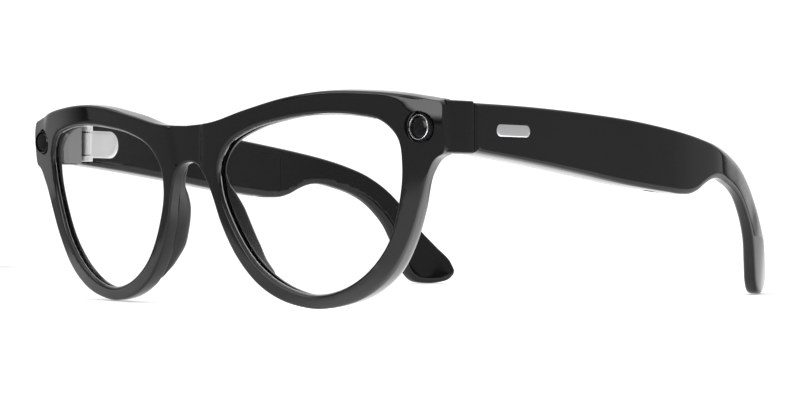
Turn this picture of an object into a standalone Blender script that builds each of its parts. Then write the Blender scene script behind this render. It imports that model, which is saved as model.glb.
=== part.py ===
"""Camera glasses: a plastic spectacle front with a camera and a light in its end pieces, and two folding temples.

Lengths below are in millimetres and become metres in point(). X runs across the face, with the wearer's left at +X.
Y runs back from the front, Z is the height over the table that the rims and the temple tips stand on.
"""

import math

import bmesh
import bpy
from mathutils import Vector, geometry

MM = 0.001
DEPTH_MIDDLE = 77.48  # the origin lies half way along the depth

# Front
FACE_RADIUS = 239.0  # the front curves round the face on this radius
FACE_TILT = math.radians(7.44)  # the top of the front leans forward
LENS_HEIGHT = 22.965  # height of the lens centres
FRONT_THICKNESS = [(0, 3.8), (10, 3.5), (20, 3.1), (33, 3.1), (42, 4.3)]  # by height over the table
SHOULDER_HEIGHT = 30.0  # the rim thins at its outer edge round this height, under the end piece
SHOULDER_SPREAD = 7.0
SHOULDER_CUT = 0.8
SHOULDER_FROM = 61.5  # only the outer edge beyond this distance thins
SHOULDER_BLEND = 3.0
GROOVE_FRONT = 0.95
GROOVE_BACK = 2.65
GROOVE_DEPTH = 0.9
LENS_EDGE = 0.6  # how far the lens reaches into its groove
GAP = 0.3  # clearance between neighbouring pieces
OUTLINE_SPACING = 3.2
LENS_SPACING = 3.6

# Front elevation, right half of the outer edge: across and up from the lens centre line
BROW_EDGE = [(0, 19.3), (8.4, 19.8), (19.8, 22.2), (32.5, 24.5), (42, 25.25), (52.5, 24.7), (61.8, 23.4), (69.2, 21.8)]
END_EDGE = [(70.3, 20.6), (70.6, 15.4), (70.1, 11.0), (69.0, 8.3), (67.6, 6.2)]
RIM_EDGE = [(66.1, 3.6), (64.3, -0.7), (61.1, -8.2), (55.5, -16.2), (47.5, -21.3), (41, -23.0), (35.3, -23.5), (30, -22.8),
            (24, -20.9), (19.0, -17.9), (14.0, -12.7), (9.2, -3.9), (6.9, 3.4), (5.1, 7.6), (2.6, 10.2), (0, 10.8)]
LENS_OPENING = [(60.5, 8.2), (60.1, 14.0), (56.5, 18.0), (51.0, 19.5), (41.5, 20.35), (30.4, 19.6), (20.6, 17.7), (13.2, 14.1),
                (10.3, 10.0), (9.9, 4.5), (12.8, -4.1), (19.8, -13.9), (26.9, -18.4), (35.5, -20.4), (43.0, -19.0),
                (50.7, -14.4), (56.0, -8.1), (58.9, -0.5)]
PAD_EDGE = [(6.4, 5.6), (7.5, 1.4), (9.4, -4.2), (11.9, -9.4), (14.6, -13.0), (16.6, -15.2), (18.4, -16.8), (19.9, -17.3),
            (20.4, -16.1), (18.4, -14.0), (16.4, -12.0), (14.3, -8.8), (12.3, -4.4), (10.7, 0.0), (9.6, 3.6), (8.2, 6.0)]
# How far a nose pad stands out behind its rim, by height
PAD_REACH = [(6.6, 1.2), (7.7, 1.8), (9.0, 2.6), (10.7, 3.2), (12.7, 3.9), (14.6, 4.3), (22.4, 4.2), (26.0, 3.0), (28.5, 1.7)]
PAD_SPACING = 2.4
BROW_RISE = 0.14  # the top face of the brow climbs this steeply towards the back
BROW_FROM = 43.0  # the climb starts at this height
BROW_SPREAD = 3.5
BRIDGE_FLAT = 6.0  # and this far out from the middle of the bridge
BRIDGE_SPREAD = 14.0

# Channel along the back of the brow
CHANNEL_PATH = [(0, 38.5), (10, 40.0), (20.6, 42.8), (30, 44.7), (42, 45.8), (52, 45.2), (62, 43.2)]
CHANNEL_DEPTH = 2.2
CHANNEL_HALF = 1.15
BRIDGE_HALF = 2.4
CHANNEL_END = 62.0
CHANNEL_STEP = 3.1
BRIDGE_END = 9.0
BRIDGE_TAPER = 2.0  # the channel narrows over this distance past the end of the bridge cover
CABLE_DEPTH = (1.9, 1.7)  # front and back faces of the flex cable, measured in from the rear of the brow
CONTACT_FRONT = 1.1
CONTACT_X = 3.4
CONTACT_Z = 38.5
CONTACT_RADIUS = 1.0
CONTACT_BACK = 2.6
MICROPHONE_X = 0.0
MICROPHONE_RADIUS = 0.7
MICROPHONE_BACK = 2.2

# End pieces
END_OUTER_FRONT = 70.45
END_OUTER_REAR = 71.85
END_INNER = 64.5
END_REAR = 17.8
END_FRONT = 9.0
END_TOP = 45.5
END_BOTTOM = 34.4
COVER_THICKNESS = 1.0
MODULE_X = 65.6
MODULE_Z = 40.1
MODULE_FACE = 6.4  # the camera ring's front plane
RECESS_FLOOR = 8.8
CAMERA_RECESS = 3.65
LED_RECESS = 3.25
# Cuts in an end piece, each given as its range in x, y and z on the wearer's left
END_CUTS = [
    ("end_pocket", (63.5, 70.0), (11.9, 16.5), (35.5, 44.2)),
    ("end_hollow", (65.3, 69.6), (9.9, 12.2), (36.2, 43.6)),
    ("leaf_slot", (63.5, 65.5), (12.7, 18.5), (35.0, 44.9)),
    ("cable_tunnel", (61.0, 65.8), (9.1, 10.2), (42.1, 43.3)),
]
MODULE_SLOT = ("module_slot", (65.7, 67.3), (8.0, 10.4), (39.0, 41.2))
BOARD_X = (65.7, 69.3)
BOARD_Y = (10.2, 11.2)
BOARD_Z = (36.6, 43.2)
# Side elevation (y, z) of the cover over the inner face of an end piece
COVER_EDGE = [(11.8, 35.6), (12.8, 34.7), (17.7, 34.7), (17.7, 45.2), (12.4, 45.2), (11.8, 44.6)]

# Hinges
HINGE_X = 63.9
HINGE_Y = 19.9
KNUCKLE_RADIUS = 1.3
BORE_RADIUS = 0.8
SCREW_RADIUS = 0.55
HINGE_TOP = 44.6
HINGE_BOTTOM = 35.3
REAR_KNUCKLE = (37.1, 42.8)
FORK_FRONT = 13.0
FORK_BACK = 17.9
FORK_GAP = (36.8, 43.1)  # the rear knuckle sits between these heights
BORE_ENDS = (34.0, 46.0)
WEB_INNER = 64.5
WEB_OUTER = 65.5
LEAF_OUTER = 65.2
LEAF_THICKNESS = 0.7
PLATE_FRONT = 21.6
PLATE_BACK = 31.8
PLATE_BOTTOM = 36.3
PLATE_TOP = 43.5
PLATE_SINK = 0.6
PLATE_PROUD = 0.4
PLATE_CORNER = 3.0

# Temples: side elevation from the top front corner round the tip to the bottom front corner
TEMPLE_FRONT = 18.1
TEMPLE_EDGE = [(TEMPLE_FRONT, 45.35), (35, 45.2), (54, 44.55), (72, 43.45), (90, 41.55), (103, 39.9), (113.7, 38.2),
               (121.5, 36.2), (129.5, 33.2), (136.5, 28.7), (142.0, 23.4), (147.3, 17.0), (152.5, 11.2), (156.6, 6.3),
               (157.4, 3.2), (155.8, 1.2), (152.6, 0.2), (149, 0.0), (145.4, 0.7), (143, 3.0), (141.2, 7.2), (139.2, 12.8),
               (136.4, 18.1), (133, 22.0), (129, 25.3), (124.5, 27.6), (119, 29.3), (114.5, 30.3), (111.3, 30.5), (108, 30.0),
               (104.6, 28.9), (100.8, 27.3), (97.5, 26.5), (93, 26.3), (86.5, 26.8), (72, 28.2), (53, 30.7), (35, 32.9),
               (TEMPLE_FRONT, 34.7)]
TIP_TURN = (157.4, 3.2)  # where the top edge ends and the bottom edge begins
TIP_UNDER = 133  # the bottom edge is read by distance only this far back
TEMPLE_PLAN = [(18, 71.9), (40, 72.9), (60, 73.7), (80, 74.8), (92, 75.0), (103, 74.0), (112, 72.6), (125, 69.4), (137, 66.2),
               (148, 63.2), (158, 58.6)]
TIP_TUCK = 1.2  # the end of the tip leans further in towards the head
TIP_TUCK_HEIGHT = 15.0
TEMPLE_THICKNESS = [(18, 7.0), (60, 6.6), (90, 5.9), (100, 4.9), (112, 3.8), (125, 3.2), (137, 3.4), (150, 4.1), (160, 4.1)]
TEMPLE_SPACING = 4.5
POCKET_FRONT = 36.0
POCKET_BACK = 96.5
POCKET_WALL = 2.3
POCKET_FLOOR = 1.3
LID_THICKNESS = 1.3
INLAY = (30.5, 39.8)  # centre of the plain oval inlay on the outer face
INLAY_LENGTH = 11.0
INLAY_HEIGHT = 2.6
INLAY_RECESS = 0.7

# Cuts on the inner side of a temple
CUT_FROM = 60.0  # every cut starts well inside the temple's inner face
NOTCH_OUTER = 65.95
NOTCH_FRONT = 17.0
NOTCH_Z = (34.9, 45.0)
SOUND_SLOTS = (82.0, 88.0)
SOUND_SLOT_LENGTH = 4.4
SOUND_SLOT_X = (68.4, 70.4)
SOUND_SLOT_Z = (20.0, 31.5)

# Parts inside the temples: name, finish, range in y, range in z, and depth from the outer face
LEFT_PARTS = [
    ("power_board", "board", (37.5, 50.5), (35.6, 41.8), (1.7, 2.5)),
    ("battery", "foil", (52.0, 76.0), (33.6, 40.2), (1.8, 4.15)),
    ("speaker_left", "inner", (79.0, 93.0), (31.8, 38.0), (1.8, 4.1)),
    ("microphone_left", "foil", (46.0, 49.2), (36.2, 38.6), (2.8, 3.9)),
    ("temple_flex_left", "amber", (49.0, 81.0), (35.6, 37.4), (4.45, 4.65)),
]
RIGHT_PARTS = [
    ("touch_sensor", "amber", (50.0, 92.0), (34.6, 38.2), (1.6, 1.8)),
    ("main_board", "board", (37.5, 76.0), (35.4, 39.9), (2.1, 2.9)),
    ("processor_shield", "foil", (52.0, 68.0), (35.6, 39.6), (3.2, 4.4)),
    ("speaker_right", "inner", (79.0, 93.0), (31.8, 38.0), (2.1, 4.1)),
    ("microphone_right", "foil", (46.0, 49.2), (36.2, 38.6), (3.2, 4.3)),
    ("temple_flex_right", "amber", (70.0, 82.0), (35.6, 37.4), (4.45, 4.65)),
]

# Button on the wearer's right temple, and switch inside the left one
BUTTON_Y = 42.0
BUTTON_LENGTH = 7.0
BUTTON_WIDTH = 2.4
BUTTON_TOP = 45.35
BUTTON_BOTTOM = 42.1
BUTTON_HOLE_Z = (41.0, 47.0)
BUTTON_SWITCH_HALF = (1.2, 1.8)
BUTTON_SWITCH_Z = (40.3, 41.4)
SWITCH_Y = 41.0
SWITCH_Z = 38.6
SWITCH_SIZE = (3.2, 1.8)
SWITCH_TRAVEL = 3.0
SWITCH_PROUD = 0.35

COLOURS = {
    "black": ((0.012, 0.012, 0.013), 0.12, 0.0),
    "inner": ((0.02, 0.02, 0.021), 0.3, 0.0),
    "lens": ((0.85, 0.87, 0.87), 0.03, 0.0),
    "chrome": ((0.75, 0.75, 0.76), 0.15, 1.0),
    "gold": ((0.78, 0.6, 0.28), 0.25, 1.0),
    "board": ((0.03, 0.16, 0.09), 0.5, 0.0),
    "foil": ((0.55, 0.55, 0.57), 0.4, 1.0),
    "amber": ((0.5, 0.26, 0.05), 0.45, 0.0),
}


# ---- small tools ------------------------------------------------------------------------------------------------


def point(x, y, z):
    return Vector((x * MM, (y - DEPTH_MIDDLE) * MM, z * MM))


def material(name, finish):
    colour, roughness, metallic = COLOURS[finish]
    made = bpy.data.materials.new(name)
    made.use_nodes = True
    shader = made.node_tree.nodes["Principled BSDF"]
    shader.inputs["Base Color"].default_value = (*colour, 1.0)
    shader.inputs["Roughness"].default_value = roughness
    shader.inputs["Metallic"].default_value = metallic
    return made


def finish(name, bm, look, origin=(0.0, DEPTH_MIDDLE, 0.0)):
    """Turn a bmesh made in world space into an object whose origin is at the given place."""
    bmesh.ops.recalc_face_normals(bm, faces=bm.faces[:])
    centre = point(*origin)
    for vertex in bm.verts:
        vertex.co -= centre
    mesh = bpy.data.meshes.new(name)
    bm.to_mesh(mesh)
    bm.free()
    mesh.shade_smooth()
    mesh.set_sharp_from_angle(angle=math.radians(30))
    made = bpy.data.objects.new(name, mesh)
    made.location = centre
    bpy.context.scene.collection.objects.link(made)
    if look:
        mesh.materials.append(material(name, look))
    return made


def hide_cutter(cutter):
    cutter.hide_render = True
    cutter.display_type = "WIRE"
    return cutter


def boolean(target, tool, operation):
    step = target.modifiers.new(tool.name, "BOOLEAN")
    step.object = hide_cutter(tool)
    step.operation = operation
    step.solver = "EXACT"


def slopes(points, closed):
    """Tangent at each point of a smooth curve, weighted by the lengths of the spans beside it."""
    count = len(points)
    result = []
    for i, here in enumerate(points):
        before = points[i - 1] if closed or i else here
        after = points[(i + 1) % count] if closed or i < count - 1 else here
        near = (here - before).length
        far = (after - here).length
        if near == 0:
            result.append((after - here) / far)
        elif far == 0:
            result.append((here - before) / near)
        else:
            result.append(((here - before) / near * far + (after - here) / far * near) / (near + far))
    return result


def smooth_curve(control, spacing, closed=False):
    """Points at about the given spacing on a smooth curve through the control points."""
    points = [Vector(p) for p in control]
    tangents = slopes(points, closed)
    last = len(points) if closed else len(points) - 1
    result = []
    for i in range(last):
        a = points[i]
        b = points[(i + 1) % len(points)]
        span = (b - a).length
        steps = max(1, round(span / spacing))
        for k in range(steps):
            t = k / steps
            rise = t * t * (3 - 2 * t)
            out = t * (1 - t) ** 2 * span
            into = t * t * (t - 1) * span
            result.append(a * (1 - rise) + b * rise + tangents[i] * out + tangents[(i + 1) % len(points)] * into)
    if not closed:
        result.append(points[-1])
    return result


def value_at(table, where):
    """Height of the smooth curve through (where, value) points, held level past its ends."""
    if where <= table[0][0]:
        return table[0][1]
    if where >= table[-1][0]:
        return table[-1][1]
    rates = []
    for i in range(len(table)):
        low = table[max(i - 1, 0)]
        high = table[min(i + 1, len(table) - 1)]
        rates.append((high[1] - low[1]) / (high[0] - low[0]))
    i = 0
    while table[i + 1][0] < where:
        i += 1
    span = table[i + 1][0] - table[i][0]
    t = (where - table[i][0]) / span
    rise = t * t * (3 - 2 * t)
    bend = t * (1 - t) ** 2 * span * rates[i] + t * t * (t - 1) * span * rates[i + 1]
    return table[i][1] * (1 - rise) + table[i + 1][1] * rise + bend


def signed_area(loop):
    return sum(a.x * b.y - b.x * a.y for a, b in zip(loop, loop[1:] + loop[:1])) / 2


def inset(loop, distance):
    """The loop moved sideways: inwards for a positive distance, outwards for a negative one."""
    turn = 1 if signed_area(loop) > 0 else -1
    result = []
    for i, here in enumerate(loop):
        before = (here - loop[i - 1]).normalized()
        after = (loop[(i + 1) % len(loop)] - here).normalized()
        along = (before + after).normalized()
        stretch = min(1 / max(along.dot(after), 0.5), 1.5)
        result.append(here + Vector((-along.y, along.x)) * distance * turn * stretch)
    return result


def inside(loop, x, y):
    hit = False
    for a, b in zip(loop, loop[1:] + loop[:1]):
        if (a.y > y) != (b.y > y) and x < a.x + (b.x - a.x) * (y - a.y) / (b.y - a.y):
            hit = not hit
    return hit


def ring_faces(bm, first, second):
    for i in range(len(first)):
        j = (i + 1) % len(first)
        bm.faces.new((first[i], first[j], second[j], second[i]))


def cap(bm, flats, rings):
    """Fill the area inside the first flat loop and outside the others with triangles on the ring vertices."""
    spots = [p for loop in flats for p in loop]
    verts = [v for ring in rings for v in ring]
    edges = []
    start = 0
    for loop in flats:
        count = len(loop)
        edges += [(start + i, start + (i + 1) % count) for i in range(count)]
        start += count
    faces = geometry.delaunay_2d_cdt(spots, edges, [], 0, 1e-6)[2]
    for a, b, c in faces:
        x = (spots[a].x + spots[b].x + spots[c].x) / 3
        y = (spots[a].y + spots[b].y + spots[c].y) / 3
        if inside(flats[0], x, y) and not any(inside(loop, x, y) for loop in flats[1:]):
            bm.faces.new((verts[a], verts[b], verts[c]))


def slab(name, look, place, thickness, outline, profile, holes=(), front_pockets=(), back_pockets=()):
    """A plate that follows a curved surface.

    place(u, v, depth) gives a point in space, and thickness(u, v) the plate's depth there. A profile lists the edge
    from front to back as (inset, share of the thickness, extra depth). A hole has its own loop and profile, whose
    insets widen it when negative. A pocket is a loop and the depth of its floor.
    """
    bm = bmesh.new()

    def ring(loop, step):
        sideways, share, extra = step
        flat = inset(loop, sideways)
        made = [bm.verts.new(place(p.x, p.y, share * thickness(p.x, p.y) + extra)) for p in flat]
        return flat, made

    fronts = []
    backs = []
    for loop, edge in [(outline, profile), *holes]:
        rings = [ring(loop, step) for step in edge]
        for first, second in zip(rings, rings[1:]):
            ring_faces(bm, first[1], second[1])
        fronts.append(rings[0])
        backs.append(rings[-1])
    for pockets, openings, level in ((front_pockets, fronts, 0), (back_pockets, backs, 1)):
        for loop, floor in pockets:
            mouth = ring(loop, (0, level, profile[-1 if level else 0][2]))
            bottom = ring(loop, (0, 0, floor))
            ring_faces(bm, mouth[1], bottom[1])
            cap(bm, [bottom[0]], [bottom[1]])
            openings.append(mouth)
    for side in (fronts, backs):
        cap(bm, [flat for flat, _ in side], [made for _, made in side])
    return finish(name, bm, look)


def prism(name, look, corners, low, high, axis="Z", origin=None):
    """A straight prism: corners are (x, y) for axis Z, (x, z) for axis Y and (y, z) for axis X."""
    bm = bmesh.new()

    def spot(a, b, level):
        if axis == "Z":
            return point(a, b, level)
        if axis == "Y":
            return point(a, level, b)
        return point(level, a, b)

    first = [bm.verts.new(spot(a, b, low)) for a, b in corners]
    second = [bm.verts.new(spot(a, b, high)) for a, b in corners]
    bm.faces.new(first)
    bm.faces.new(second)
    ring_faces(bm, first, second)
    return finish(name, bm, look, origin or (0.0, DEPTH_MIDDLE, 0.0))


def box(name, look, x, y, z):
    return prism(name, look, [(x[0], y[0]), (x[1], y[0]), (x[1], y[1]), (x[0], y[1])], z[0], z[1])


def sided(side, near, far):
    """A range of x on the wearer's left (side 1) or mirrored to the right (side -1)."""
    return sorted((side * near, side * far))


def circle(across, up, radius, sides):
    steps = [2 * math.pi * i / sides for i in range(sides)]
    return [Vector((across + radius * math.cos(a), up + radius * math.sin(a))) for a in steps]


def stadium(across, up, length, width, sides=6):
    """A rounded bar: two half circles joined by straight sides."""
    radius = width / 2
    reach = length / 2 - radius
    result = []
    for end, start in ((1, -math.pi / 2), (-1, math.pi / 2)):
        for i in range(sides + 1):
            angle = start + math.pi * i / sides
            result.append(Vector((across + end * reach + radius * math.cos(angle), up + radius * math.sin(angle))))
    return result


def turned(name, look, profile, centre, axis, sides, bored=False):
    """A turned solid: profile lists (distance along the axis, radius), and bored closes it round a hole."""
    bm = bmesh.new()
    rings = []
    for along, radius in profile:
        made = []
        for p in circle(0, 0, radius, sides):
            if axis == "Y":
                made.append(bm.verts.new(point(centre[0] + p.x, along, centre[1] + p.y)))
            else:
                made.append(bm.verts.new(point(centre[0] + p.x, centre[1] + p.y, along)))
        rings.append(made)
    for first, second in zip(rings, rings[1:]):
        ring_faces(bm, first, second)
    if bored:
        ring_faces(bm, rings[-1], rings[0])
    else:
        bm.faces.new(rings[0])
        bm.faces.new(rings[-1])
    return finish(name, bm, look)


# ---- the front --------------------------------------------------------------------------------------------------


def front_height(x, up):
    """Height over the table of a point given by its distance up from the lens centre line."""
    return LENS_HEIGHT + math.cos(FACE_TILT) * up + math.sin(FACE_TILT) * x * x / (2 * FACE_RADIUS)


def front_y(x, z):
    bow = x * x / (2 * FACE_RADIUS)
    up = (z - LENS_HEIGHT - math.sin(FACE_TILT) * bow) / math.cos(FACE_TILT)
    return math.cos(FACE_TILT) * bow - math.sin(FACE_TILT) * up


def front_place(x, z, depth):
    near_top = min(max((z - BROW_FROM) / BROW_SPREAD, 0.0), 1.0)
    off_bridge = min(max((abs(x) - BRIDGE_FLAT) / BRIDGE_SPREAD, 0.0), 1.0)
    return point(x, front_y(x, z) + depth, z + BROW_RISE * max(depth, 0.0) * near_top * off_bridge)


def front_thickness(x, z):
    near = max(1.0 - abs(z - SHOULDER_HEIGHT) / SHOULDER_SPREAD, 0.0)
    outside = min(max((abs(x) - SHOULDER_FROM) / SHOULDER_BLEND, 0.0), 1.0)
    return value_at(FRONT_THICKNESS, z) - SHOULDER_CUT * near * outside


def raised(control):
    return [(x, front_height(x, up)) for x, up in control]


def mirrored(loop):
    return [Vector((-p.x, p.y)) for p in loop]


def front_outline():
    half = smooth_curve(raised(BROW_EDGE), OUTLINE_SPACING)
    half += [Vector(p) for p in raised(END_EDGE)]
    half += smooth_curve(raised(RIM_EDGE), OUTLINE_SPACING)
    return half + mirrored(half[1:-1])[::-1]


def lens_loop(side):
    loop = smooth_curve(raised(LENS_OPENING), LENS_SPACING, closed=True)
    return loop if side > 0 else mirrored(loop)


def channel_strip(start, end, margin):
    """Outline of the brow channel between two distances from the centre, drawn in by the margin."""
    steps = max(2, round(abs(end - start) / CHANNEL_STEP))
    spots = [start + (end - start) * i / steps for i in range(steps + 1)]
    upper = []
    lower = []
    for x in spots:
        widen = min(max((BRIDGE_END + BRIDGE_TAPER - abs(x)) / BRIDGE_TAPER, 0.0), 1.0)
        half = CHANNEL_HALF + (BRIDGE_HALF - CHANNEL_HALF) * widen - margin
        middle = value_at(CHANNEL_PATH, abs(x))
        upper.append(Vector((x, middle + half)))
        lower.append(Vector((x, middle - half)))
    return upper + lower[::-1]


def make_front_frame():
    rim = [(-0.35, 0, 0.0), (-0.1, 0, 0.12), (0, 0, 0.4), (0, 0, GROOVE_FRONT), (-GROOVE_DEPTH, 0, GROOVE_FRONT),
           (-GROOVE_DEPTH, 0, GROOVE_BACK), (0, 0, GROOVE_BACK), (0, 1, -0.3), (-0.35, 1, 0)]
    edge = [(0.5, 0, 0), (0.15, 0, 0.15), (0, 0, 0.5), (0, 1, -1.2), (0.4, 1, -0.4), (1.05, 1, 0)]
    holes = [(lens_loop(side), rim) for side in (1, -1)]
    frame = slab("front_frame", "black", front_place, front_thickness, front_outline(), edge, holes)
    for side in (1, -1):
        arm = [(side * END_OUTER_FRONT, END_FRONT + 0.9), (side * END_OUTER_REAR, END_REAR), (side * END_INNER, END_REAR),
               (side * END_INNER, END_FRONT)]
        boolean(frame, prism("end_piece", None, arm, END_BOTTOM, END_TOP), "UNION")
    for side in (1, -1):
        for name, across, y, z in END_CUTS:
            boolean(frame, box(name, None, sided(side, *across), y, z), "DIFFERENCE")
        radius = CAMERA_RECESS if side > 0 else LED_RECESS
        recess = [(0.0, radius), (RECESS_FLOOR, radius)]
        boolean(frame, turned("module_recess", None, recess, (side * MODULE_X, MODULE_Z), "Y", 32), "DIFFERENCE")
        name, across, y, z = MODULE_SLOT
        boolean(frame, box(name, None, sided(side, *across), y, z), "DIFFERENCE")
    wide = [(0, 1, -CHANNEL_DEPTH), (0, 1, 1.0)]
    loop = channel_strip(-CHANNEL_END, CHANNEL_END, 0.0)
    boolean(frame, slab("brow_channel", None, front_place, front_thickness, loop, wide), "DIFFERENCE")
    return frame


def make_lenses():
    for side, name in ((1, "lens_left"), (-1, "lens_right")):
        edge = [(-LENS_EDGE, 0, GROOVE_FRONT + GAP), (-LENS_EDGE, 0, GROOVE_BACK - GAP)]
        slab(name, "lens", front_place, front_thickness, lens_loop(side), edge)


def pad_place(x, z, depth):
    return front_place(x, z, front_thickness(x, z) + depth)


def pad_reach(x, z):
    return value_at(PAD_REACH, z)


def make_nose_pads():
    edge = [(0.1, 0, GAP), (0, 0.1, GAP), (0, 0.68, 0), (0.2, 0.88, 0), (0.45, 1, 0)]
    for side, name in ((1, "nose_pad_left"), (-1, "nose_pad_right")):
        loop = smooth_curve(raised(PAD_EDGE), PAD_SPACING, closed=True)
        loop = loop if side > 0 else mirrored(loop)
        slab(name, "black", pad_place, pad_reach, loop, edge)


def make_brow():
    lid = [(0, 1, -1.25), (0, 1, -0.1)]
    for side, name in ((1, "brow_cover_left"), (-1, "brow_cover_right")):
        loop = channel_strip(side * (BRIDGE_END + BRIDGE_TAPER), side * (CHANNEL_END - GAP), GAP)
        slab(name, "inner", front_place, front_thickness, loop, lid)
    holes = []
    for x, radius, sides in ((-CONTACT_X, CONTACT_RADIUS, 20), (CONTACT_X, CONTACT_RADIUS, 20), (MICROPHONE_X, MICROPHONE_RADIUS, 14)):
        holes.append((circle(x, CONTACT_Z, radius + GAP, sides), lid))
    loop = channel_strip(GAP - BRIDGE_END, BRIDGE_END - GAP, GAP)
    slab("bridge_cover", "inner", front_place, front_thickness, loop, lid, holes)
    for x, name in ((CONTACT_X, "charge_contact_left"), (-CONTACT_X, "charge_contact_right")):
        turned(name, "gold", [(CONTACT_FRONT, CONTACT_RADIUS), (CONTACT_BACK, CONTACT_RADIUS)], (x, CONTACT_Z), "Y", 20)
    spots = [(CONTACT_FRONT, MICROPHONE_RADIUS), (MICROPHONE_BACK, MICROPHONE_RADIUS)]
    turned("bridge_microphone", "foil", spots, (MICROPHONE_X, CONTACT_Z), "Y", 14)
    loop = channel_strip(1.0 - CHANNEL_END, CHANNEL_END - 1.0, 0.35)
    slab("front_flex_cable", "amber", front_place, front_thickness, loop, [(0, 1, -depth) for depth in CABLE_DEPTH])


def make_camera():
    centre = (MODULE_X, MODULE_Z)
    face = MODULE_FACE
    barrel = [(face + 0.6, 2.8), (8.5, 2.8), (8.5, 2.2), (7.75, 2.2), (7.75, 2.45), (face + 0.6, 2.45)]
    turned("camera_bezel", "black", barrel, centre, "Y", 36, bored=True)
    ring = [(face, 2.75), (face + 0.12, 2.87), (face + 0.3, 2.87), (face + 0.3, 2.5), (face, 2.55)]
    turned("camera_ring", "chrome", ring, centre, "Y", 36, bored=True)
    turned("camera_window", "lens", [(face + 0.45, 2.15), (face + 1.05, 2.15)], centre, "Y", 30)
    turned("camera_module", "inner", [(7.75, 0.9), (8.1, 1.4), (8.1, 1.9), (8.6, 1.9)], centre, "Y", 24)
    box("camera_board", "board", BOARD_X, BOARD_Y, BOARD_Z)


def make_light():
    centre = (-MODULE_X, MODULE_Z)
    face = MODULE_FACE + 0.1
    rim = [(face, 2.65), (face + 0.15, 2.8), (8.5, 2.8), (8.5, 2.2), (face + 1.4, 2.2), (face + 1.4, 2.6)]
    turned("led_bezel", "black", rim, centre, "Y", 32, bored=True)
    turned("led_window", "lens", [(face, 2.0), (face + 0.15, 2.3), (face + 1.1, 2.3)], centre, "Y", 30)
    box("led_board", "board", sided(-1, *BOARD_X), BOARD_Y, BOARD_Z)


def make_end_covers():
    for side, name in ((1, "end_cover_left"), (-1, "end_cover_right")):
        across = sided(side, END_INNER - GAP - COVER_THICKNESS, END_INNER - GAP)
        prism(name, "inner", COVER_EDGE, *across, axis="X")


# ---- hinges -----------------------------------------------------------------------------------------------------


def plate_loop(margin):
    """Side elevation of the hinge plate, widened by the margin: straight at the front and round at the back."""
    middle = (PLATE_BOTTOM + PLATE_TOP) / 2
    reach = PLATE_TOP + margin - middle
    loop = [Vector((PLATE_FRONT, PLATE_BOTTOM - margin))]
    for i in range(9):
        angle = -math.pi / 2 + math.pi * i / 8
        across = PLATE_BACK - PLATE_CORNER + (PLATE_CORNER + margin) * math.cos(angle)
        loop.append(Vector((across, middle + reach * math.sin(angle))))
    loop.append(Vector((PLATE_FRONT, PLATE_TOP + margin)))
    return loop


def make_hinges():
    for side, tag in ((1, "left"), (-1, "right")):
        axis_at = (side * HINGE_X, HINGE_Y)
        low, high = FORK_GAP
        fork = [(FORK_FRONT, HINGE_BOTTOM), (HINGE_Y, HINGE_BOTTOM), (HINGE_Y, low), (FORK_BACK, low), (FORK_BACK, high),
                (HINGE_Y, high), (HINGE_Y, HINGE_TOP), (FORK_FRONT, HINGE_TOP)]
        across = sided(side, LEAF_OUTER - LEAF_THICKNESS, LEAF_OUTER)
        front = prism("hinge_front_" + tag, "chrome", fork, *across, axis="X")
        for low, high in ((HINGE_BOTTOM, low), (high, HINGE_TOP)):
            knuckle = turned("knuckle", None, [(low, KNUCKLE_RADIUS), (high, KNUCKLE_RADIUS)], axis_at, "Z", 24)
            boolean(front, knuckle, "UNION")
        bore = turned("bore", None, [(end, BORE_RADIUS) for end in BORE_ENDS], axis_at, "Z", 24)
        boolean(front, bore, "DIFFERENCE")
        thin = [(0, 1, -PLATE_SINK), (0, 1, PLATE_PROUD - 0.15), (0.15, 1, PLATE_PROUD)]
        rear = slab("hinge_rear_" + tag, "chrome", temple_place(side), temple_thickness, plate_loop(0.0), thin)
        web = [(side * WEB_INNER, HINGE_Y), (side * WEB_OUTER, HINGE_Y + 0.6), (side * WEB_OUTER, PLATE_FRONT + 0.5),
               (side * (WEB_INNER + 0.35), PLATE_FRONT + 0.5)]
        low, high = REAR_KNUCKLE
        boolean(rear, prism("web", None, web, low, high), "UNION")
        boolean(rear, turned("knuckle", None, [(low, KNUCKLE_RADIUS), (high, KNUCKLE_RADIUS)], axis_at, "Z", 24), "UNION")
        bore = turned("bore", None, [(end, BORE_RADIUS) for end in BORE_ENDS], axis_at, "Z", 24)
        boolean(rear, bore, "DIFFERENCE")
        screw = [(HINGE_BOTTOM + 0.1, SCREW_RADIUS), (HINGE_TOP + GAP, SCREW_RADIUS), (HINGE_TOP + GAP, 1.1), (HINGE_TOP + 0.6, 1.1)]
        turned("hinge_screw_" + tag, "chrome", screw, axis_at, "Z", 18)


# ---- temples ----------------------------------------------------------------------------------------------------


def temple_place(side):
    def place(y, z, depth):
        low = max(1.0 - z / TIP_TUCK_HEIGHT, 0.0)
        return point(side * (value_at(TEMPLE_PLAN, y) - TIP_TUCK * low - depth), y, z)
    return place


def temple_thickness(y, z):
    return value_at(TEMPLE_THICKNESS, y)


def edge_height(y, top):
    """Height of the temple's top or bottom edge at this distance back."""
    turn = TEMPLE_EDGE.index(TIP_TURN)
    curve = TEMPLE_EDGE[:turn] if top else TEMPLE_EDGE[turn:][::-1]
    if not top:
        curve = [p for p in curve if p[0] <= TIP_UNDER]
    return value_at(curve, y)


def pocket_loop(margin):
    """Outline of the pocket in a temple, drawn in by the margin."""
    steps = 14
    front = POCKET_FRONT + margin
    back = POCKET_BACK - margin
    wall = POCKET_WALL + margin
    spots = [front + (back - front) * i / steps for i in range(steps + 1)]
    upper = [Vector((y, edge_height(y, True) - wall)) for y in spots]
    lower = [Vector((y, edge_height(y, False) + wall)) for y in spots]
    return lower + upper[::-1]


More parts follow.
